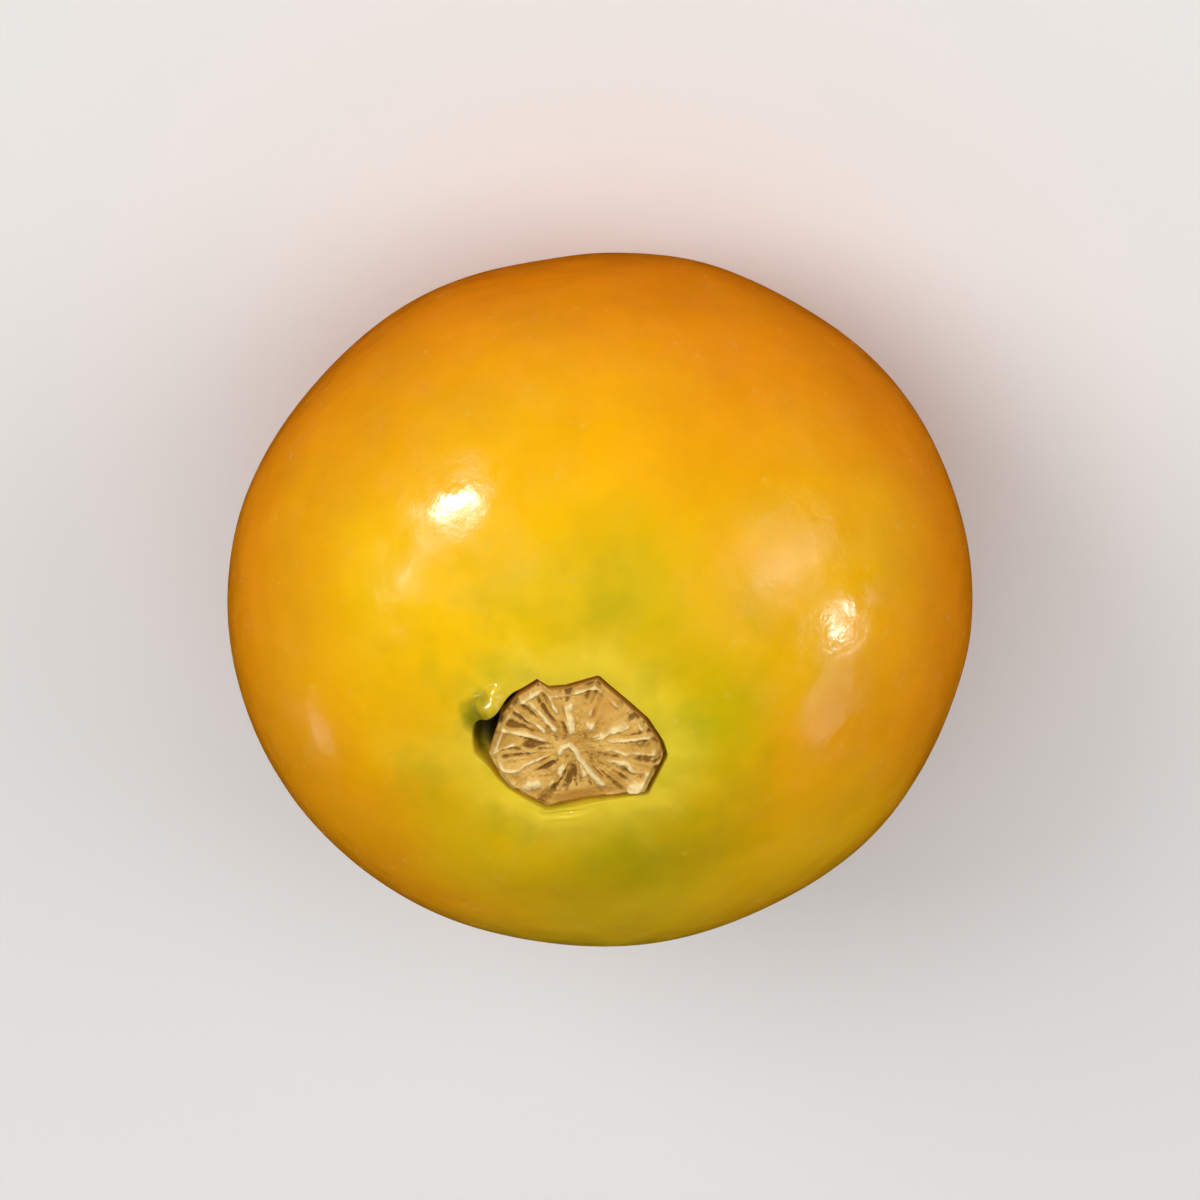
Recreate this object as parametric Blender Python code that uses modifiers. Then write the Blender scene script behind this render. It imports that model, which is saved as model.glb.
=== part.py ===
"""A physalis berry, picked and out of its husk, resting on its blossom end.

Metres, +Z up. +Z runs from the blossom end, which the berry rests on, to the stem end.
+X runs across the wider side. The origin is in the middle of the small resting face.

The berry is one solid fruit. The second piece is the dry stub of its stem: the corky plate
that stays in the fruit's pit when the husk is pulled off.
"""

import math

import bmesh
import bpy

MM = 0.001

# The fruit, in millimetres
HALF_WIDTH = 10.3  # along X, at the equator
SIDE_SHARE = 0.932  # the two seed chambers make the berry narrower along Y by this share
EQUATOR_HEIGHT = 9.25
UPPER_RISE = 9.45  # from the equator to the crown, before the basin sinks it
LOWER_DROP = 9.7  # from the equator to the blossom end, before it is flattened
LOBES = 5  # faint shoulders that the five husk seams leave round the stem end
LOBE_HEIGHT = 0.07

# The basin round the stem, and the pit in it that the stub sits in
BASIN_DEPTH = 0.5
BASIN_WIDTH = 3.4
PIT_DEPTH = 0.5
PIT_WALL = 0.35  # how far the pit's sloping wall reaches outwards
PIT_CLEARANCE = 0.22  # between the stub's outline and the foot of that wall

# The resting face at the blossom end
FLAT_EASE = 0.14  # the skin's height where it starts to turn into the flat

# The stub: a thin domed plate with an uneven, many-cornered outline
STUB_CORNERS = [  # (degrees from +X, millimetres from the stub's middle)
    (0, 2.43),
    (20, 2.31),
    (30, 2.25),
    (45, 2.12),
    (60, 2.12),
    (125, 2.02),
    (135, 2.36),
    (165, 2.43),
    (175, 2.30),
    (195, 2.05),
    (215, 1.88),
    (245, 2.09),
    (270, 1.71),
    (285, 1.79),
    (290, 2.10),
    (310, 2.13),
    (330, 2.22),
]
STUB_RADIUS = max(radius for _, radius in STUB_CORNERS)
STUB_THICKNESS = 0.62  # at its rim
STUB_DOME = 0.16
STUB_EDGE_ROUND = 0.14
STUB_GAP = 0.1  # between the pit's floor and the stub

TURN_STEPS = 72  # every 5 degrees, as the stub's corners are
BODY_RINGS = 26
MERGE_MM = 0.01


def smooth(low, high, value):
    """0 below low, 1 above high, and an even curve between them."""
    share = min(1.0, max(0.0, (value - low) / (high - low)))
    return share * share * (3 - 2 * share)


def stub_outline(angle):
    """The stub's radius in millimetres at an angle, on straight sides between its corners."""
    degrees = math.degrees(angle) % 360
    corners = [*STUB_CORNERS, (STUB_CORNERS[0][0] + 360, STUB_CORNERS[0][1])]
    if degrees < corners[0][0]:
        degrees += 360
    for (before, near), (after, far) in zip(corners, corners[1:]):
        if before <= degrees <= after:
            passed = math.sin(math.radians(degrees - before))
            ahead = math.sin(math.radians(after - degrees))
            whole = math.sin(math.radians(after - before))
            return near * far * whole / (near * passed + far * ahead)
    raise ValueError(f"no corner beside {degrees} degrees")


def crown_height(radius):
    """The skin's height over the base at a distance from the axis, with the basin and no pit."""
    rise = UPPER_RISE * math.sqrt(max(0.0, 1 - (radius / HALF_WIDTH) ** 2))
    basin = BASIN_DEPTH * math.exp(-((radius / BASIN_WIDTH) ** 2))
    return EQUATOR_HEIGHT + rise - basin


def pit_floor():
    return crown_height(STUB_RADIUS) - PIT_DEPTH


def base_height(radius):
    """The skin's height at a distance from the axis below the equator, eased into the flat."""
    drop = LOWER_DROP * math.sqrt(max(0.0, 1 - (radius / HALF_WIDTH) ** 2))
    height = EQUATOR_HEIGHT - drop
    if height > FLAT_EASE:
        return height
    if height < -FLAT_EASE:
        return 0.0
    return (height + FLAT_EASE) ** 2 / (4 * FLAT_EASE)


def berry_profile():
    """(radius, height) points of the turned berry from the pit's middle down to the base's."""
    foot = STUB_RADIUS + PIT_CLEARANCE
    rim = foot + PIT_WALL
    points = [(radius, pit_floor()) for radius in (0.0, foot / 2, foot)]
    points.append(((foot + rim) / 2, (pit_floor() + crown_height(rim)) / 2))
    start = math.asin(rim / HALF_WIDTH)
    for ring in range(BODY_RINGS + 1):
        angle = start + (math.pi - start) * ring / BODY_RINGS
        radius = HALF_WIDTH * math.sin(angle) if ring < BODY_RINGS else 0.0
        height = crown_height(radius) if angle < math.pi / 2 else base_height(radius)
        points.append((radius, height))
    return points


def stub_profile():
    """(radius, height) points of the turned stub from the middle of its top to its underside's."""
    bottom = pit_floor() + STUB_GAP
    top = bottom + STUB_THICKNESS
    points = []
    for share in (0.0, 0.3, 0.6, 0.85):
        radius = (STUB_RADIUS - STUB_EDGE_ROUND) * share
        points.append((radius, top + STUB_DOME * (1 - share * share)))
    for turn in (0, 45, 90):
        angle = math.radians(turn)
        radius = STUB_RADIUS - STUB_EDGE_ROUND * (1 - math.sin(angle))
        points.append((radius, top - STUB_EDGE_ROUND * (1 - math.cos(angle))))
    points += [(STUB_RADIUS * 0.94, bottom), (0.0, bottom)]
    return points


def turned(name, profile, collection):
    """An object turned from a profile round Z, closed on the axis."""
    mesh = bpy.data.meshes.new(name)
    points = [(radius * MM, 0.0, height * MM) for radius, height in profile]
    mesh.from_pydata(points, [(i, i + 1) for i in range(len(points) - 1)], [])
    guide = bpy.data.objects.new(name, mesh)
    collection.objects.link(guide)
    screw = guide.modifiers.new("turn", "SCREW")
    screw.steps = screw.render_steps = TURN_STEPS
    screw.use_merge_vertices = True
    screw.merge_threshold = MERGE_MM * MM
    graph = bpy.context.evaluated_depsgraph_get()
    solid = bpy.data.meshes.new_from_object(guide.evaluated_get(graph))
    bpy.data.objects.remove(guide)
    obj = bpy.data.objects.new(name, solid)
    collection.objects.link(obj)
    return obj


def shape(obj, move):
    """Moves each vertex as move says, from millimetres to millimetres."""
    form = bmesh.new()
    form.from_mesh(obj.data)
    bmesh.ops.remove_doubles(form, verts=form.verts, dist=MERGE_MM * MM)
    for vertex in form.verts:
        vertex.co = [value * MM for value in move(*(value / MM for value in vertex.co))]
    bmesh.ops.recalc_face_normals(form, faces=form.faces)
    form.to_mesh(obj.data)
    form.free()
    obj.data.shade_smooth()
    obj.data.set_sharp_from_angle(angle=math.radians(40))


def berry_form(x, y, z):
    """The round turned berry made oval and faintly lobed, with a pit that fits the stub."""
    radius = math.hypot(x, y)
    angle = math.atan2(y, x)
    foot = STUB_RADIUS + PIT_CLEARANCE
    rim = foot + PIT_WALL
    in_pit = 1 - smooth(rim, 2 * rim, radius) if z > EQUATOR_HEIGHT else 0.0
    fitted = (radius + stub_outline(angle) - STUB_RADIUS) if radius > 0 else 0.0
    fitted = radius * fitted / foot if radius < foot else fitted
    oval_x, oval_y = x, y * SIDE_SHARE
    x = oval_x + (fitted * math.cos(angle) - oval_x) * in_pit
    y = oval_y + (fitted * math.sin(angle) - oval_y) * in_pit
    shoulder = smooth(rim, 5.5, radius) * (1 - smooth(5.5, 8.5, radius))
    if z > EQUATOR_HEIGHT:
        z += LOBE_HEIGHT * shoulder * math.cos(LOBES * angle)
    return x, y, z


def stub_form(x, y, z):
    """The round turned plate given its many-cornered outline."""
    share = stub_outline(math.atan2(y, x)) / STUB_RADIUS
    return x * share, y * share, z


def finish(name, colour, roughness):
    """A material with the piece's own colour and gloss."""
    material = bpy.data.materials.new(name)
    material.use_nodes = True
    shader = material.node_tree.nodes["Principled BSDF"]
    shader.inputs["Base Color"].default_value = (*colour, 1.0)
    shader.inputs["Roughness"].default_value = roughness
    shader.inputs["Metallic"].default_value = 0.0
    return material


def make_berry(collection):
    berry = turned("berry", berry_profile(), collection)
    shape(berry, berry_form)
    berry.data.materials.append(finish("waxy_skin", (0.83, 0.42, 0.01), 0.28))


def make_stub(collection):
    stub = turned("stem_stub", stub_profile(), collection)
    shape(stub, stub_form)
    stub.data.materials.append(finish("dry_cork", (0.53, 0.33, 0.09), 0.75))


for leftover in list(bpy.data.objects):
    bpy.data.objects.remove(leftover)
parts = bpy.data.collections.new("physalis_berry")
bpy.context.scene.collection.children.link(parts)
make_berry(parts)
make_stub(parts)
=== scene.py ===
"""The looks of one physalis berry, picked and out of its husk, standing on its blossom end.

Metres, +Z up. +Z runs from the blossom end to the stem end, and +X across the wider side.
The sections follow the berry as it is put together: the fruit, its stem stub, then the
floor, the lights and the camera.
"""

import math

import bmesh
import bpy
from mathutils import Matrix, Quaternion, Vector, noise
from mathutils.bvhtree import BVHTree


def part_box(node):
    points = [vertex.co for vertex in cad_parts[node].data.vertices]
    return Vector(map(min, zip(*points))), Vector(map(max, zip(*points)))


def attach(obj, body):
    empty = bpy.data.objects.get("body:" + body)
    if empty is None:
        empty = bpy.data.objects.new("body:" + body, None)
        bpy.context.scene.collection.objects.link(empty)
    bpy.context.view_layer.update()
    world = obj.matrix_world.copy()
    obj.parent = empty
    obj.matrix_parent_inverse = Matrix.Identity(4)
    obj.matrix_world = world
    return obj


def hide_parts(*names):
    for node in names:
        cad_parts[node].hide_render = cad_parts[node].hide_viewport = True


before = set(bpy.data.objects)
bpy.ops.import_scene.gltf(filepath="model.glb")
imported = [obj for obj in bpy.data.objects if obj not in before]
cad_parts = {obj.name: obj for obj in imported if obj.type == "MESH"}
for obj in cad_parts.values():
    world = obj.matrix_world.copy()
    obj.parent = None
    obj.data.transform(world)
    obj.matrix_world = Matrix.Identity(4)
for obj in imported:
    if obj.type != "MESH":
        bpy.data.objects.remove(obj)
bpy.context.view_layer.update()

MM = 0.001


# ------------------------------------------------------------------------------ the fruit
# The fruit is one thin-skinned, juicy berry that grew inside a papery husk. Its skin is
# smooth and tight with a thin coat of natural wax. It is drawn in round the stem, where it
# folds into a pit that grips the stub, and it ends underneath in the scar of the flower.

RINGS = 256  # from the stem end to the blossom end
SEGMENTS = 360
FLOOR_RINGS = 10  # of them on the pit's floor, under the stub
PUCKER_RINGS = 110  # of them on the floor and the puckered skin round it
PUCKER_REACH_MM = 5.2

berry_low, berry_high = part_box("berry")
stub_low, stub_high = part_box("stem_stub")
half_width = (berry_high[0] - berry_low[0]) / 2 / MM
half_depth = (berry_high[1] - berry_low[1]) / 2 / MM
EQUATOR = 9.25  # this and the next heights in millimetres, as on the CAD solid
UPPER_RISE = 9.45
LOWER_DROP = 9.7
FLAT_EASE = 0.14
BASIN_DEPTH = 0.5
BASIN_WIDTH = 3.4
STUB_GAP = 0.1  # between the pit's floor and the stub
pit_floor = stub_low[2] / MM - STUB_GAP
MERGE_DISTANCE = 1e-7  # metres: only the poles' own doubles


def measured_outline(node, degrees_apart):
    """The stub's radius in millimetres by even steps of angle, measured on its CAD solid."""
    solid = bmesh.new()
    solid.from_mesh(node.data)
    tree = BVHTree.FromBMesh(solid)
    height = (stub_low[2] + stub_high[2]) / 2
    radii = []
    for degrees in range(0, 360, degrees_apart):
        outwards = Vector((math.cos(math.radians(degrees)), math.sin(math.radians(degrees)), 0))
        start = Vector((0, 0, height)) + outwards * (stub_high[0] - stub_low[0])
        hit = tree.ray_cast(start, -outwards)[0]
        radii.append(math.hypot(hit.x, hit.y) / MM)
    solid.free()
    return radii


OUTLINE = measured_outline(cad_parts["stem_stub"], degrees_apart=2)


def stub_radius(angle):
    """The stub's radius in millimetres at an angle."""
    place = (math.degrees(angle) % 360) / 360 * len(OUTLINE)
    first = int(place)
    share = place - first
    near = OUTLINE[first % len(OUTLINE)]
    return near + (OUTLINE[(first + 1) % len(OUTLINE)] - near) * share


def ease(low, high, value):
    """0 below low, 1 above high, and an even curve between them."""
    share = min(1.0, max(0.0, (value - low) / (high - low)))
    return share * share * (3 - 2 * share)


def bell(value, width):
    """1 at nothing, falling away evenly on both sides."""
    return math.exp(-((value / width) ** 2))


def turn_from(angle, degrees):
    """The angle in degrees from a bearing, between -180 and 180."""
    return (math.degrees(angle) - degrees + 180) % 360 - 180


def lumps(point, size, seed):
    """Even random relief between about -1 and 1, with lumps of the size given in millimetres."""
    return noise.noise(Vector(point) / size + Vector((seed, seed * 1.7, -seed)))


GAP_MM = 0.03  # between the stub and the skin that grips it
CLEFT_MM = 0.42  # the gap where the skin has let go of the stub
CLEFT_BEARING = -17  # degrees from +X
CLEFT_SPREAD = 21  # degrees that it narrows over on one side, and half that on the other
CLEFT_DEPTH = 0.45  # below the rest of the pit
PIT_WALL_MM = 0.12
COLLAR_HEIGHT = 0.09  # of the skin that bulges round the stub
COLLAR_PLACE = 0.55  # millimetres out from the stub's edge
COLLAR_WIDTH = 0.42
FOLD_HEIGHT = 0.05
FINE_FOLD_HEIGHT = 0.012
FOLDS_END = 3.4
NUB = (2.14, -1.34)  # the place in millimetres of the small lump beside the cleft
NUB_HEIGHT = 0.46
NUB_RADIUS = 0.34
CRACK_BEARING = -40  # a thin crack between the lump and the stub, which is painted dark as shadow
CRACK_SPREAD = 12
CRACK_MM = 0.07
CREASE_BEARING = 74  # where the skin is folded along the stub's edge
CREASE_SPREAD = 13
CREASE_PLACE = 0.27  # millimetres out from the stub's edge
CREASE_WIDTH = 0.05
CREASE_DEPTH = 0.08
LIP_PLACE = 0.40
LIP_WIDTH = 0.07
LIP_HEIGHT = 0.05
SKIN_RADIUS = 2.3  # where the folds are sampled, so that each keeps its bearing


def skin_height(radius, angle):
    """The height in millimetres of the upper skin over a place, with its folds and the pit."""
    share = min(1.0, radius / half_width)
    height = EQUATOR + UPPER_RISE * math.sqrt(max(0.0, 1 - share * share))
    height -= BASIN_DEPTH * bell(radius, BASIN_WIDTH)
    out = radius - stub_radius(angle)
    x, y = radius * math.cos(angle), radius * math.sin(angle)
    round_stub = (math.cos(angle) * SKIN_RADIUS, math.sin(angle) * SKIN_RADIUS, 0)
    collar = COLLAR_HEIGHT * (0.9 + 1.3 * lumps(round_stub, 1.2, 5.2))
    height += collar * bell(out - COLLAR_PLACE, COLLAR_WIDTH)
    folds = lumps(round_stub, 0.6, 3.1) * FOLD_HEIGHT + lumps(round_stub, 0.25, 8.4) * FINE_FOLD_HEIGHT
    height += folds * ease(0.0, 0.3, out) * (1 - ease(0.5, FOLDS_END, out))
    from_nub = math.hypot(x - NUB[0], y - NUB[1]) * (1 + 0.5 * lumps((x, y, 0), 0.35, 4.8))
    height += NUB_HEIGHT * (1 - ease(0.1 * NUB_RADIUS, 1.9 * NUB_RADIUS, from_nub))
    near_crease = bell(turn_from(angle, CREASE_BEARING), CREASE_SPREAD)
    height += near_crease * LIP_HEIGHT * bell(out - LIP_PLACE, LIP_WIDTH)
    height -= near_crease * CREASE_DEPTH * bell(out - CREASE_PLACE, CREASE_WIDTH)
    past = turn_from(angle, CLEFT_BEARING)
    spread = bell(past, CLEFT_SPREAD if past > 0 else CLEFT_SPREAD / 2)
    crack = bell(turn_from(angle, CRACK_BEARING), CRACK_SPREAD)
    gap = GAP_MM + (CLEFT_MM - GAP_MM) * spread + CRACK_MM * crack
    wall = ease(gap, gap + PIT_WALL_MM * (1 + spread), out)
    floor = pit_floor - CLEFT_DEPTH * max(spread, 0.6 * crack) * ease(-0.1, 0.1, out)
    return floor + (height - floor) * wall


SCAR_DEPTH = 0.22  # of the dimple that the flower left in the blossom end
SCAR_RADIUS = 0.55
SCAR_POINT = 0.14  # height of the point in the middle of the dimple


def base_height(share):
    """The height of the lower skin, eased into the flattened blossom end and its scar."""
    height = EQUATOR - LOWER_DROP * math.sqrt(max(0.0, 1 - share * share))
    if height > FLAT_EASE:
        return height
    dimple = SCAR_DEPTH * bell(share * half_width, SCAR_RADIUS)
    dimple -= SCAR_POINT * bell(share * half_width, SCAR_RADIUS / 2)
    if height < -FLAT_EASE:
        return dimple
    return (height + FLAT_EASE) ** 2 / (4 * FLAT_EASE) + dimple


def ring_radius(ring, angle):
    """How far from the axis a ring lies at an angle: the upper rings follow the stub's edge."""
    edge = stub_radius(angle)
    if ring <= FLOOR_RINGS:
        return edge * ring / FLOOR_RINGS
    if ring <= PUCKER_RINGS:
        passed = (ring - FLOOR_RINGS) / (PUCKER_RINGS - FLOOR_RINGS)
        return edge + (PUCKER_REACH_MM - edge) * passed ** 1.5
    pucker = math.asin(PUCKER_REACH_MM / half_width)
    turn = pucker + (math.pi - pucker) * (ring - PUCKER_RINGS) / (RINGS - PUCKER_RINGS)
    return half_width * math.sin(turn)


SWELL_MM = 0.13  # the unevenness of a fruit that grew
FINE_SWELL_MM = 0.015

skin = bmesh.new()
from_stub = skin.verts.layers.float.new("from_stub")  # millimetres out from the stub's edge
bmesh.ops.create_uvsphere(skin, u_segments=SEGMENTS, v_segments=RINGS, radius=1.0)
last_upper_ring = PUCKER_RINGS
while ring_radius(last_upper_ring + 1, 0) > ring_radius(last_upper_ring, 0):
    last_upper_ring += 1
for vertex in skin.verts:
    ring = round(math.acos(max(-1.0, min(1.0, vertex.co.z))) / math.pi * RINGS)
    angle = math.atan2(vertex.co.y, vertex.co.x)
    wide = ring_radius(ring, angle)
    deep = wide * half_depth / half_width
    if ring <= last_upper_ring:
        deep += (wide - deep) * (1 - ease(3.0, 6.0, wide))
        z = skin_height(wide, angle)
    else:
        z = base_height(wide / half_width)
    x, y = wide * math.cos(angle), deep * math.sin(angle)
    swell = SWELL_MM * lumps((x, y, z), 4.2, 1.3) + FINE_SWELL_MM * lumps((x, y, z), 2.0, 7.7)
    swell *= min(1.0, z / 2) * ease(2.9, 6.0, wide)  # none on the resting face or at the pit
    outwards = Vector((x, y, z - EQUATOR)).normalized()
    vertex.co = (Vector((x, y, z)) + outwards * swell) * MM
    vertex[from_stub] = wide - stub_radius(angle) if ring <= last_upper_ring else half_width
bmesh.ops.remove_doubles(skin, verts=skin.verts, dist=MERGE_DISTANCE)
bmesh.ops.recalc_face_normals(skin, faces=skin.faces)
for face in skin.faces:
    face.smooth = True
skin_mesh = bpy.data.meshes.new("berry_skin")
skin.to_mesh(skin_mesh)
skin.free()
berry_skin = bpy.data.objects.new("berry_skin", skin_mesh)
bpy.context.scene.collection.objects.link(berry_skin)


def linear(colour):
    """A hex colour as the shader's linear red, green, blue and alpha."""
    values = [int(colour[at:at + 2], 16) / 255 for at in (1, 3, 5)]
    return [v / 12.92 if v <= 0.04045 else ((v + 0.055) / 1.055) ** 2.4 for v in values] + [1.0]


def add(tree, kind, settings=None, links=None):
    """Adds a node. settings sets its own fields or its sockets; links joins sockets to it."""
    node = tree.nodes.new(kind)
    for name, value in (settings or {}).items():
        if isinstance(name, int) or name in node.inputs:
            node.inputs[name].default_value = value
        else:
            setattr(node, name, value)
    for name, source in (links or {}).items():
        tree.links.new(source, node.inputs[name])
    return node


def new_material(name):
    material = bpy.data.materials.new(name)
    material.use_nodes = True
    material.node_tree.nodes.clear()
    return material, material.node_tree


# Waxy berry skin: orange all round, golden on the shoulders and still green round the
# stem. Light sinks a little way into the flesh, and the wax gives small soft highlights
# that fine dimples break up.
waxy_skin, tree = new_material("waxy_berry_skin")
place = add(tree, "ShaderNodeTexCoord").outputs["Object"]
in_mm = add(tree, "ShaderNodeVectorMath", {"operation": "SCALE", "Scale": 1 / MM},
            {0: place}).outputs[0]


def strayed(tree, vector, size, most, detail):
    """Places moved at random by most millimetres each way, so that what is laid there is ragged."""
    waves = add(tree, "ShaderNodeTexNoise", {"Scale": 1 / size, "Detail": detail}, {"Vector": vector})
    shift = add(tree, "ShaderNodeVectorMath",
                {"operation": "MULTIPLY_ADD", 1: [2 * most] * 3, 2: [-most] * 3},
                {0: waves.outputs["Color"]}).outputs[0]
    return add(tree, "ShaderNodeVectorMath", {"operation": "ADD"}, {0: vector, 1: shift}).outputs[0]


wandered = strayed(tree, in_mm, size=3.2, most=1.6, detail=3.0)

# Deep orange low on the fruit turns to a lighter orange on its shoulders
LIGHTER_ORANGE_FROM_MM = 7.0
LIGHTER_ORANGE_TO_MM = 15.5
up = add(tree, "ShaderNodeSeparateXYZ", None, {0: wandered}).outputs["Z"]
lightness = add(tree, "ShaderNodeMapRange",
                {"From Min": LIGHTER_ORANGE_FROM_MM, "From Max": LIGHTER_ORANGE_TO_MM}, {"Value": up}).outputs[0]
colour = add(tree, "ShaderNodeMix",
             {"data_type": "RGBA", 6: linear("#E88204"), 7: linear("#EE9C04")},
             {0: lightness}).outputs[2]

# Patches of skin from ripe to green: middle and reach in millimetres, colour, strength
PATCHES = [
    ((1.5, -3.5, 17.0), 10.5, "#FAC404", 0.95),
    ((-0.6, 0.4, 18.0), 8.4, "#DEBE06", 1.0),
    ((-3.7, -0.4, 17.9), 3.0, "#BDB300", 0.8),
    ((-2.0, -4.0, 17.3), 3.2, "#CCB200", 0.7),
    ((-1.0, 4.8, 17.0), 5.2, "#A89806", 0.85),
    ((3.4, 3.0, 17.6), 3.2, "#C8B00A", 0.5),
    ((4.6, -4.4, 16.6), 3.4, "#FFCA0C", 0.6),
    ((4.6, 0.0, 17.8), 1.8, "#EECF38", 0.4),
    ((-6.6, -2.6, 14.8), 5.6, "#F4BC08", 0.85),
    ((-4.8, 5.6, 14.8), 5.6, "#F4BE06", 0.8),
    ((0.8, 7.8, 14.0), 6.2, "#F2CC18", 0.9),
]


def patch(tree, colour, vector, middle, reach, shade, strength, soft=1.0):
    """Lays a round patch of another shade over a colour, fading out at its reach."""
    moved = add(tree, "ShaderNodeMapping",
                {"Location": [-value / reach for value in middle], "Scale": [1 / reach] * 3},
                {"Vector": vector}).outputs[0]
    ball = add(tree, "ShaderNodeTexGradient", {"gradient_type": "SPHERICAL"}, {"Vector": moved})
    weight = add(tree, "ShaderNodeMapRange",
                 {"interpolation_type": "SMOOTHSTEP", "From Max": soft, "To Max": strength},
                 {"Value": ball.outputs["Fac"]}).outputs[0]
    return add(tree, "ShaderNodeMix", {"data_type": "RGBA", 7: linear(shade)},
               {0: weight, 6: colour}).outputs[2]


for middle, reach, shade, strength in PATCHES:
    colour = patch(tree, colour, wandered, middle, reach, shade, strength)

# Pale skin and a painted highlight hug the stub, and pale veins run out from it over the shoulders
out = add(tree, "ShaderNodeAttribute", {"attribute_name": "from_stub"}).outputs["Fac"]
flat_place = add(tree, "ShaderNodeVectorMath", {"operation": "MULTIPLY", 1: (1, 1, 0)},
                 {0: in_mm}).outputs[0]
bearing = add(tree, "ShaderNodeVectorMath", {"operation": "NORMALIZE"}, {0: flat_place}).outputs[0]
slow_height = add(tree, "ShaderNodeVectorMath", {"operation": "MULTIPLY", 1: (0, 0, 0.12)},
                  {0: in_mm}).outputs[0]
along_veins = add(tree, "ShaderNodeVectorMath", {"operation": "ADD"},
                  {0: bearing, 1: slow_height}).outputs[0]
veins = add(tree, "ShaderNodeTexNoise", {"Scale": 6.0, "Detail": 2.0, "Roughness": 0.5},
            {"Vector": along_veins}).outputs["Fac"]
HALO_WITH_HIGHLIGHT_MM = 1.9
HALO_WITH_HIGHLIGHT_STRENGTH = 0.6
VEINS_MM = 4.0
VEIN_STRENGTH = 0.12
# The halo: the skin's own paler colour near the stub, together with painted highlight on its raised
# collar
halo_with_highlight = add(tree, "ShaderNodeMapRange",
           {"interpolation_type": "SMOOTHSTEP", "From Max": HALO_WITH_HIGHLIGHT_MM, "To Min": 1.0, "To Max": 0.0},
           {"Value": out}).outputs[0]
vein_reach = add(tree, "ShaderNodeMapRange",
                 {"interpolation_type": "SMOOTHSTEP", "From Max": VEINS_MM,
                  "To Min": VEIN_STRENGTH, "To Max": 0.0}, {"Value": out}).outputs[0]
vein_lines = add(tree, "ShaderNodeMapRange", {"From Min": 0.46, "From Max": 0.66},
                 {"Value": veins}).outputs[0]
pale_veins = add(tree, "ShaderNodeMath", {"operation": "MULTIPLY"},
                 {0: vein_reach, 1: vein_lines}).outputs[0]
pale = add(tree, "ShaderNodeMath", {"operation": "MULTIPLY_ADD", 1: HALO_WITH_HIGHLIGHT_STRENGTH},
           {0: halo_with_highlight, 2: pale_veins}).outputs[0]
colour = add(tree, "ShaderNodeMix", {"data_type": "RGBA", "clamp_factor": True, 7: linear("#EED440")},
             {0: pale, 6: colour}).outputs[2]

# Greener spots of a millimetre or two, only near the stem end
SPOT_STRENGTH = 0.34
SPOTS_END = 6.5
spots = add(tree, "ShaderNodeTexNoise", {"Scale": 1 / 1.5, "Detail": 2.5, "Roughness": 0.55},
            {"Vector": in_mm}).outputs["Fac"]
spots = add(tree, "ShaderNodeMapRange", {"From Min": 0.47, "From Max": 0.68, "To Max": SPOT_STRENGTH},
            {"Value": spots}).outputs[0]
spot_reach = add(tree, "ShaderNodeMapRange",
                 {"interpolation_type": "SMOOTHSTEP", "From Min": 0.5, "From Max": SPOTS_END,
                  "To Min": 1.0, "To Max": 0.0}, {"Value": out}).outputs[0]
spots = add(tree, "ShaderNodeMath", {"operation": "MULTIPLY"}, {0: spots, 1: spot_reach}).outputs[0]
colour = add(tree, "ShaderNodeMix", {"data_type": "RGBA", 7: linear("#9C9A02")},
             {0: spots, 6: colour}).outputs[2]

# Small ragged marks: the olive lump, greener skin with painted shade on its flank; the cleft
# and the crack by the stub, painted shadow dark down to their bottoms; and the flower's scar with a tan
# edge
MARKS_AND_SHADE = [
    # the olive lump: greener skin, with painted shade on its flank
    ((2.40, -1.16, 18.2), 0.85, "#85800E", 0.9),
    # painted shadow in the cleft
    ((2.55, -0.60, 17.5), 0.95, "#544C0E", 0.95),
    # painted shadow in the crack beside the stub, in two places
    ((2.15, -0.40, 17.2), 0.75, "#2E2202", 1.0),
    ((1.75, -1.55, 17.4), 0.75, "#2E2202", 1.0),
    ((0.0, 0.0, 0.1), 1.80, "#B0742A", 0.7),
    ((0.0, 0.0, 0.2), 0.80, "#4A2C10", 0.95),
]
ragged = strayed(tree, in_mm, size=0.45, most=0.25, detail=2.0)
for middle, reach, shade, strength in MARKS_AND_SHADE:
    colour = patch(tree, colour, ragged, middle, reach, shade, strength, soft=0.7)

# Faint mottling, and pale flecks a tenth of a millimetre wide scattered at random
mottle = add(tree, "ShaderNodeTexNoise", {"Scale": 1 / 2.4, "Detail": 5.0, "Roughness": 0.6},
             {"Vector": in_mm}).outputs["Fac"]
mottle = add(tree, "ShaderNodeMapRange",
             {"From Min": 0.35, "From Max": 0.65, "To Min": 0.94, "To Max": 1.04},
             {"Value": mottle}).outputs[0]
colour = add(tree, "ShaderNodeVectorMath", {"operation": "SCALE"},
             {0: colour, "Scale": mottle}).outputs[0]
flecks = add(tree, "ShaderNodeTexVoronoi", {"Scale": 1 / 0.9}, {"Vector": in_mm}).outputs["Distance"]
flecks = add(tree, "ShaderNodeMapRange",
             {"From Min": 0.04, "From Max": 0.12, "To Min": 0.2, "To Max": 0.0},
             {"Value": flecks}).outputs[0]
colour = add(tree, "ShaderNodeMix", {"data_type": "RGBA", 7: linear("#F4D468")},
             {0: flecks, 6: colour}).outputs[2]

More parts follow.
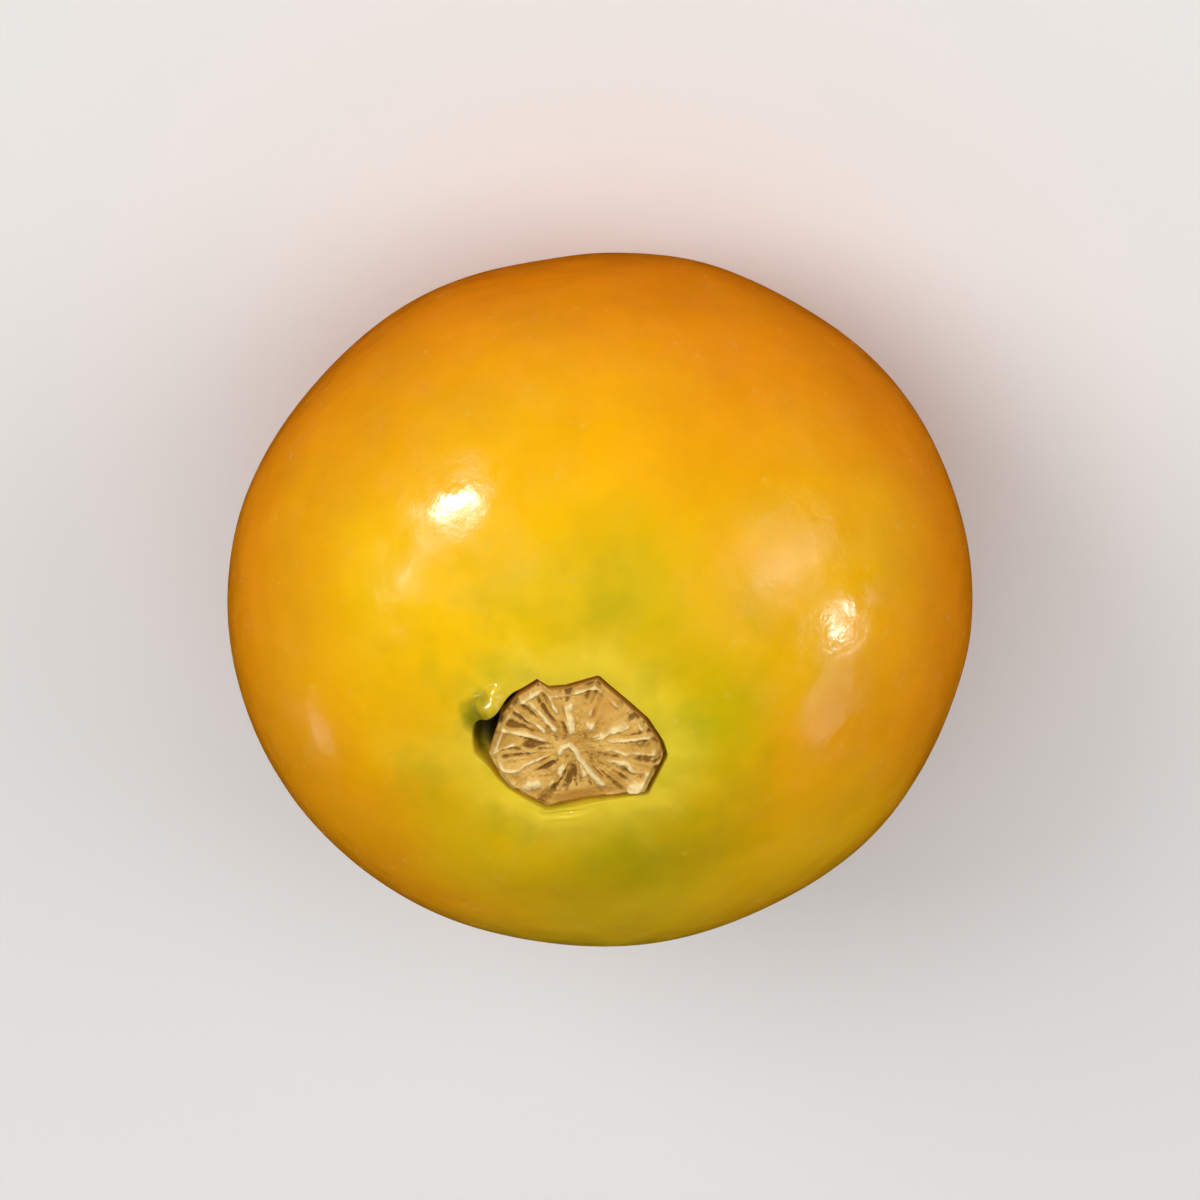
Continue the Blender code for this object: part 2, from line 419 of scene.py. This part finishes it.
# The skin isn't quite even: waves over a millimetre long break up the highlights, and
# dimples a third of a millimetre long grain them
dimples = add(tree, "ShaderNodeTexNoise", {"Scale": 1 / 0.34, "Detail": 3.0, "Roughness": 0.55},
              {"Vector": in_mm}).outputs["Fac"]
waves = add(tree, "ShaderNodeTexNoise", {"Scale": 1 / 1.3, "Detail": 1.0},
            {"Vector": in_mm}).outputs["Fac"]
wavy = add(tree, "ShaderNodeBump", {"Strength": 1.0, "Distance": 0.05 * MM}, {"Height": waves})
bump = add(tree, "ShaderNodeBump", {"Strength": 1.0, "Distance": 0.011 * MM},
           {"Height": dimples, "Normal": wavy.outputs[0]})
wax = add(tree, "ShaderNodeTexNoise", {"Scale": 1 / 0.9, "Detail": 4.0}, {"Vector": in_mm})
gloss = add(tree, "ShaderNodeMapRange",
            {"From Min": 0.3, "From Max": 0.7, "To Min": 0.13, "To Max": 0.28},
            {"Value": wax.outputs["Fac"]}).outputs[0]
shader = add(tree, "ShaderNodeBsdfPrincipled",
             {"IOR": 1.42, "Specular IOR Level": 0.4, "Subsurface Weight": 0.3,
              "Subsurface Radius": (1.0, 0.45, 0.08), "Subsurface Scale": 1.0 * MM},
             {"Base Color": colour, "Normal": bump.outputs[0], "Roughness": gloss})
add(tree, "ShaderNodeOutputMaterial", None, {"Surface": shader.outputs[0]})
berry_skin.data.materials.append(waxy_skin)

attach(berry_skin, "root")
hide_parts("berry")


# --------------------------------------------------------------------------- the stem stub
# The stub is the dry end of the flower stalk, which the husk tore away from. It is a plate
# of tan cork, ribbed from its middle out like the spokes of a wheel, with a raised rim. It
# grew onto the fruit, which grips it all round.

PLATE_RINGS = 128
PLATE_SEGMENTS = 360
TOP_SHARE = 0.86  # of the rings that lie on the top face
plate_floor = stub_low[2] / MM
TOP_RELIEF = 0.17  # what the dome, the ribs and the rim rise over the plate
plate_top = stub_high[2] / MM - TOP_RELIEF
DOME_HEIGHT = 0.12
TOP_SINK = 0.05
RIM_PLACE = 0.93  # share of the way from the middle to the edge
RIM_HEIGHT = 0.09
RIM_WIDTH = 0.032  # also a share
EDGE_ROUND = 0.1
BEVEL_BEARING = 84  # the side that is worn to a smooth slope
BEVEL_SPREAD = 34
BEVEL_DROP = 0.20
FIBRE_HEIGHT = 0.17  # of the fine fibres between the ribs
GRAIN_HEIGHT = 0.03
FINE_GRAIN_HEIGHT = 0.02
GROOVE_DEPTH = 0.035  # counts as the bottom of a groove for the painted shade, and this much above it as the top of a ridge for the painted highlight
RELIEF_SPAN = 0.16  # this much above it as the top of a ridge

# Ribs: bearing in degrees, where they start and end as shares of the radius, width in
# millimetres, height in millimetres
RIBS = [
    (270, 0.28, 0.78, 0.15, 0.17),
    (240, 0.48, 0.72, 0.10, 0.09),
    (201, 0.36, 0.82, 0.14, 0.16),
    (184, 0.46, 0.94, 0.07, 0.10),
    (168, 0.40, 0.92, 0.08, 0.11),
    (151, 0.46, 0.86, 0.09, 0.10),
    (98, 0.24, 0.50, 0.07, 0.11),
    (52, 0.26, 0.84, 0.11, 0.14),
    (34, 0.44, 0.90, 0.13, 0.12),
    (13, 0.34, 0.90, 0.08, 0.12),
    (355, 0.42, 0.94, 0.06, 0.10),
    (337, 0.36, 0.92, 0.10, 0.13),
    (321, 0.44, 0.90, 0.06, 0.11),
    (306, 0.36, 0.92, 0.09, 0.13),
    (289, 0.50, 0.90, 0.06, 0.10),
]
# The curl that the vein bundle left in the middle, as (x, y) in millimetres
CURL = [(0.42, 0.05), (0.34, -0.08), (0.13, -0.15), (0.00, 0.02), (-0.07, 0.28), (-0.33, 0.77),
        (-0.57, 1.18)]
CURL_WIDTH = 0.085
CURL_HEIGHT = 0.18
LUMPS = [  # (x, y), radius and height in millimetres: knobs of cork near the rim
    ((-1.41, 1.40), 0.20, 0.16),
    ((1.20, 1.00), 0.18, 0.14),
    ((-0.53, -0.63), 0.16, 0.14),
]
SMOOTH_PLACE = (-0.93, -1.08)  # a patch of the top where the cork is smooth
SMOOTH_RADIUS = 0.42


def rib_height(x, y, share, angle):
    """The height of the ribs, the curl and the knobs over the plate."""
    tallest = 0.0
    radius = math.hypot(x, y)
    for degrees, start, end, width, height in RIBS:
        bend = 7 * lumps((x, y, degrees), 0.5, 2.2)
        aside = radius * math.radians(turn_from(angle, degrees + bend))
        if abs(aside) < 3 * width:
            length = ease(start - 0.10, start + 0.08, share) * (1 - ease(end - 0.04, end + 0.06, share))
            across = 1 - ease(0.35 * width, 1.15 * width, abs(aside))
            uneven = 0.8 + 0.9 * lumps((x, y, degrees), 0.24, 3.3)
            tallest = max(tallest, height * length * across * uneven)
    for (ax, ay), (bx, by) in zip(CURL, CURL[1:]):
        run = Vector((bx - ax, by - ay))
        along = min(1.0, max(0.0, Vector((x - ax, y - ay)).dot(run) / run.length_squared))
        aside = math.hypot(x - ax - run.x * along, y - ay - run.y * along)
        tallest = max(tallest, CURL_HEIGHT * bell(aside, CURL_WIDTH))
    for (at_x, at_y), size, height in LUMPS:
        tallest = max(tallest, height * bell(math.hypot(x - at_x, y - at_y), size))
    return tallest


plate = bmesh.new()
relief = plate.verts.layers.float.new("relief")  # 0 in the grooves, 1 on the ribs
worn = plate.verts.layers.float.new("worn")  # 1 on the smooth slope and the side
bmesh.ops.create_uvsphere(plate, u_segments=PLATE_SEGMENTS, v_segments=PLATE_RINGS, radius=1.0)
for vertex in plate.verts:
    ring = math.acos(max(-1.0, min(1.0, vertex.co.z))) / math.pi
    angle = math.atan2(vertex.co.y, vertex.co.x)
    edge = stub_radius(angle)
    slope = bell(turn_from(angle, BEVEL_BEARING), BEVEL_SPREAD)
    if ring <= TOP_SHARE:
        share = min(1.0, ring / TOP_SHARE)
        radius = edge * share
        x, y = radius * math.cos(angle), radius * math.sin(angle)
        on_slope = slope * ease(0.66, 0.80, share)
        ribs = rib_height(x, y, share, angle) * (1 - on_slope)
        rim = RIM_HEIGHT * bell(share - RIM_PLACE, RIM_WIDTH) * (1 - on_slope)
        rim *= 0.8 + 1.6 * lumps((x, y, 0), 0.45, 6.1)
        spoke = (3.2 * math.cos(angle), 3.2 * math.sin(angle), 0.8 * share)
        fibres = FIBRE_HEIGHT * (0.22 - abs(lumps(spoke, 0.46, 9.3))) * ease(0.2, 0.5, share)
        rough = fibres + GRAIN_HEIGHT * lumps((x, y, 0), 0.12, 4.4)
        rough += FINE_GRAIN_HEIGHT * lumps((x, y, 0), 0.06, 7.7)
        dome = DOME_HEIGHT * (1 - share * share) - TOP_SINK
        fall = EDGE_ROUND * ease(0.93, 1.0, share) + BEVEL_DROP * on_slope * ease(0.7, 1.0, share)
        on_patch = bell(math.hypot(x - SMOOTH_PLACE[0], y - SMOOTH_PLACE[1]), SMOOTH_RADIUS)
        rough *= 1 - max(0.6 * on_slope, 0.8 * on_patch)
        z = plate_top + dome + ribs + rim + rough - fall
        vertex[relief] = min(1.0, max(0.0, (ribs + rim + rough + GROOVE_DEPTH) / RELIEF_SPAN))
        vertex[worn] = max(on_slope, 0.8 * on_patch)
    else:
        down = (ring - TOP_SHARE) / (1 - TOP_SHARE)
        side = ease(0.0, 0.6, down)
        inwards = ease(0.6, 1.0, down)
        radius = edge * (1 - inwards)
        x, y = radius * math.cos(angle), radius * math.sin(angle)
        top = plate_top - TOP_SINK - EDGE_ROUND - BEVEL_DROP * slope
        z = top + (plate_floor - top) * side
        vertex[relief] = 0.2
        vertex[worn] = 1.0
    vertex.co = Vector((x, y, z)) * MM
bmesh.ops.remove_doubles(plate, verts=plate.verts, dist=MERGE_DISTANCE)
bmesh.ops.recalc_face_normals(plate, faces=plate.faces)
for face in plate.faces:
    face.smooth = True
plate_mesh = bpy.data.meshes.new("stem_stub_cork")
plate.to_mesh(plate_mesh)
plate.free()
cork_stub = bpy.data.objects.new("stem_stub_cork", plate_mesh)
bpy.context.scene.collection.objects.link(cork_stub)

# Dry cork: tan and dull, with painted highlight that makes it paler where ribs stand up and painted
# shade that makes it brown down in the grooves, and a smoother orange brown where it broke away.
dry_cork, tree = new_material("dry_cork")
place = add(tree, "ShaderNodeTexCoord").outputs["Object"]
in_mm = add(tree, "ShaderNodeVectorMath", {"operation": "SCALE", "Scale": 1 / MM},
            {0: place}).outputs[0]
height = add(tree, "ShaderNodeAttribute", {"attribute_name": "relief"}).outputs["Fac"]
smooth_side = add(tree, "ShaderNodeAttribute", {"attribute_name": "worn"}).outputs["Fac"]
stain = add(tree, "ShaderNodeTexNoise", {"Scale": 1 / 0.55, "Detail": 3.0}, {"Vector": in_mm})
stain = add(tree, "ShaderNodeMapRange", {"From Min": 0.35, "From Max": 0.65},
            {"Value": stain.outputs["Fac"]}).outputs[0]
plain = add(tree, "ShaderNodeMix", {"data_type": "RGBA", 6: linear("#C2923C"), 7: linear("#E0B45C")},
            {0: stain}).outputs[2]
painted_groove_shade = add(tree, "ShaderNodeMapRange", {"From Max": 0.22, "To Min": 1.0, "To Max": 0.0},
                {"Value": height}).outputs[0]
# painted shade down in the grooves
groove_shaded = add(tree, "ShaderNodeMix", {"data_type": "RGBA", 7: linear("#845A1E")},
              {0: painted_groove_shade, 6: plain}).outputs[2]
painted_ridge_highlight = add(tree, "ShaderNodeMapRange", {"From Min": 0.5, "From Max": 0.95},
               {"Value": height}).outputs[0]
# painted highlight on the ridges
ribbed = add(tree, "ShaderNodeMix", {"data_type": "RGBA", 7: linear("#F5DC9C")},
             {0: painted_ridge_highlight, 6: groove_shaded}).outputs[2]
colour = add(tree, "ShaderNodeMix", {"data_type": "RGBA", 7: linear("#D49A3E")},
             {0: smooth_side, 6: ribbed}).outputs[2]
grain = add(tree, "ShaderNodeTexNoise", {"Scale": 1 / 0.09, "Detail": 4.0, "Roughness": 0.65},
            {"Vector": in_mm}).outputs["Fac"]
bump = add(tree, "ShaderNodeBump", {"Strength": 0.8, "Distance": 0.03 * MM}, {"Height": grain})
shader = add(tree, "ShaderNodeBsdfPrincipled",
             {"Roughness": 0.7, "IOR": 1.45, "Specular IOR Level": 0.3},
             {"Base Color": colour, "Normal": bump.outputs[0]})
add(tree, "ShaderNodeOutputMaterial", None, {"Surface": shader.outputs[0]})
cork_stub.data.materials.append(dry_cork)

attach(cork_stub, "root")
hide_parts("stem_stub")


# ------------------------------------------------------------------ the floor and the light
# A plain pale floor far wider than the view. Large soft panels light the berry, and small
# lamps that light nothing give its waxy skin its highlights.

FLOOR_RADIUS = 1.6
floor_form = bmesh.new()
bmesh.ops.create_circle(floor_form, cap_ends=True, segments=96, radius=FLOOR_RADIUS)
floor_mesh = bpy.data.meshes.new("floor")
floor_form.to_mesh(floor_mesh)
floor_form.free()
floor = bpy.data.objects.new("floor", floor_mesh)
bpy.context.scene.collection.objects.link(floor)
paper, tree = new_material("matt_paper")
shader = add(tree, "ShaderNodeBsdfPrincipled",
             {"Base Color": linear("#E9E8E6"), "Roughness": 0.9, "Specular IOR Level": 0.2})
add(tree, "ShaderNodeOutputMaterial", None, {"Surface": shader.outputs[0]})
floor.data.materials.append(paper)
floor.visible_glossy = False  # so that the gloss shows the lamps alone

world = bpy.data.worlds.new("studio")
bpy.context.scene.world = world
world.use_nodes = True
world.node_tree.nodes["Background"].inputs["Color"].default_value = linear("#FFFFFF")
world.node_tree.nodes["Background"].inputs["Strength"].default_value = 0.35
world.cycles_visibility.glossy = False

MIDDLE = Vector((0, 0, EQUATOR * MM))


def towards(azimuth, elevation):
    """The direction at so many degrees round from the front, to the right, and up."""
    across = math.cos(math.radians(elevation))
    return Vector((math.sin(math.radians(azimuth)) * across,
                   -math.cos(math.radians(azimuth)) * across,
                   math.sin(math.radians(elevation))))


def light(name, azimuth, elevation, distance, width, height, watts, glint):
    """An area lamp that faces the berry, in degrees, metres and watts.

    A glint shows in the gloss and lights nothing, and a panel is the other way round.
    """
    lamp = bpy.data.lights.new(name, "AREA")
    lamp.shape = "ELLIPSE"
    lamp.size = width
    lamp.size_y = height
    lamp.energy = watts
    holder = bpy.data.objects.new(name, lamp)
    holder.location = MIDDLE + towards(azimuth, elevation) * distance
    holder.rotation_euler = towards(azimuth, elevation).to_track_quat("Z", "Y").to_euler()
    holder.visible_diffuse = not glint
    holder.visible_transmission = not glint
    holder.visible_glossy = glint
    bpy.context.scene.collection.objects.link(holder)


# The camera is rolled half over, so the lamps on the right of its view have minus angles
light("key_panel", 38, 44, 0.45, 0.28, 0.28, 0.70, False)
light("right_panel", -70, 42, 0.45, 0.28, 0.28, 0.45, False)
light("overhead_panel", -8, 68, 0.70, 0.60, 0.60, 1.7, False)
light("key_glint", 34, 23, 0.35, 0.068, 0.028, 1.20, True)
light("key_glow", 37, 26, 0.35, 0.170, 0.100, 0.22, True)
light("left_glint", 63, 30, 0.35, 0.070, 0.050, 0.09, True)
light("low_glint", 112, -2, 0.35, 0.090, 0.060, 0.03, True)
light("right_glint", -102, 14, 0.35, 0.018, 0.026, 0.20, True)
light("right_core", -76, 24, 0.35, 0.070, 0.120, 0.08, True)
light("right_glow", -72, 22, 0.35, 0.200, 0.250, 0.26, True)
light("tail_glint", -119, 17, 0.35, 0.110, 0.090, 0.07, True)


# ------------------------------------------------------------------------------ the camera
# The camera looks down on the stem end from 26 degrees off the berry's axis, rolled so that
# the stem end shows low in the view.

VIEW_SHARE = 0.62  # of the frame's width that the berry fills
LENS_MM = 600
SENSOR_MM = 36
ROLL = 189.5  # degrees round the line of sight
back = towards(-17.0, 63.5)  # from the berry to the camera
camera_data = bpy.data.cameras.new("camera")
camera_data.lens = LENS_MM
camera_data.sensor_width = SENSOR_MM
camera_data.clip_start = 0.01
camera_data.clip_end = 5  # metres, past the floor's far side
camera = bpy.data.objects.new("camera", camera_data)
bpy.context.scene.collection.objects.link(camera)
distance = 2 * half_width * MM / VIEW_SHARE * LENS_MM / SENSOR_MM
camera.location = MIDDLE + back * distance
rolled = back.to_track_quat("Z", "Y") @ Quaternion((0, 0, 1), math.radians(ROLL))
camera.rotation_euler = rolled.to_euler()
bpy.context.scene.camera = camera
bpy.context.scene.view_settings.view_transform = "Standard"
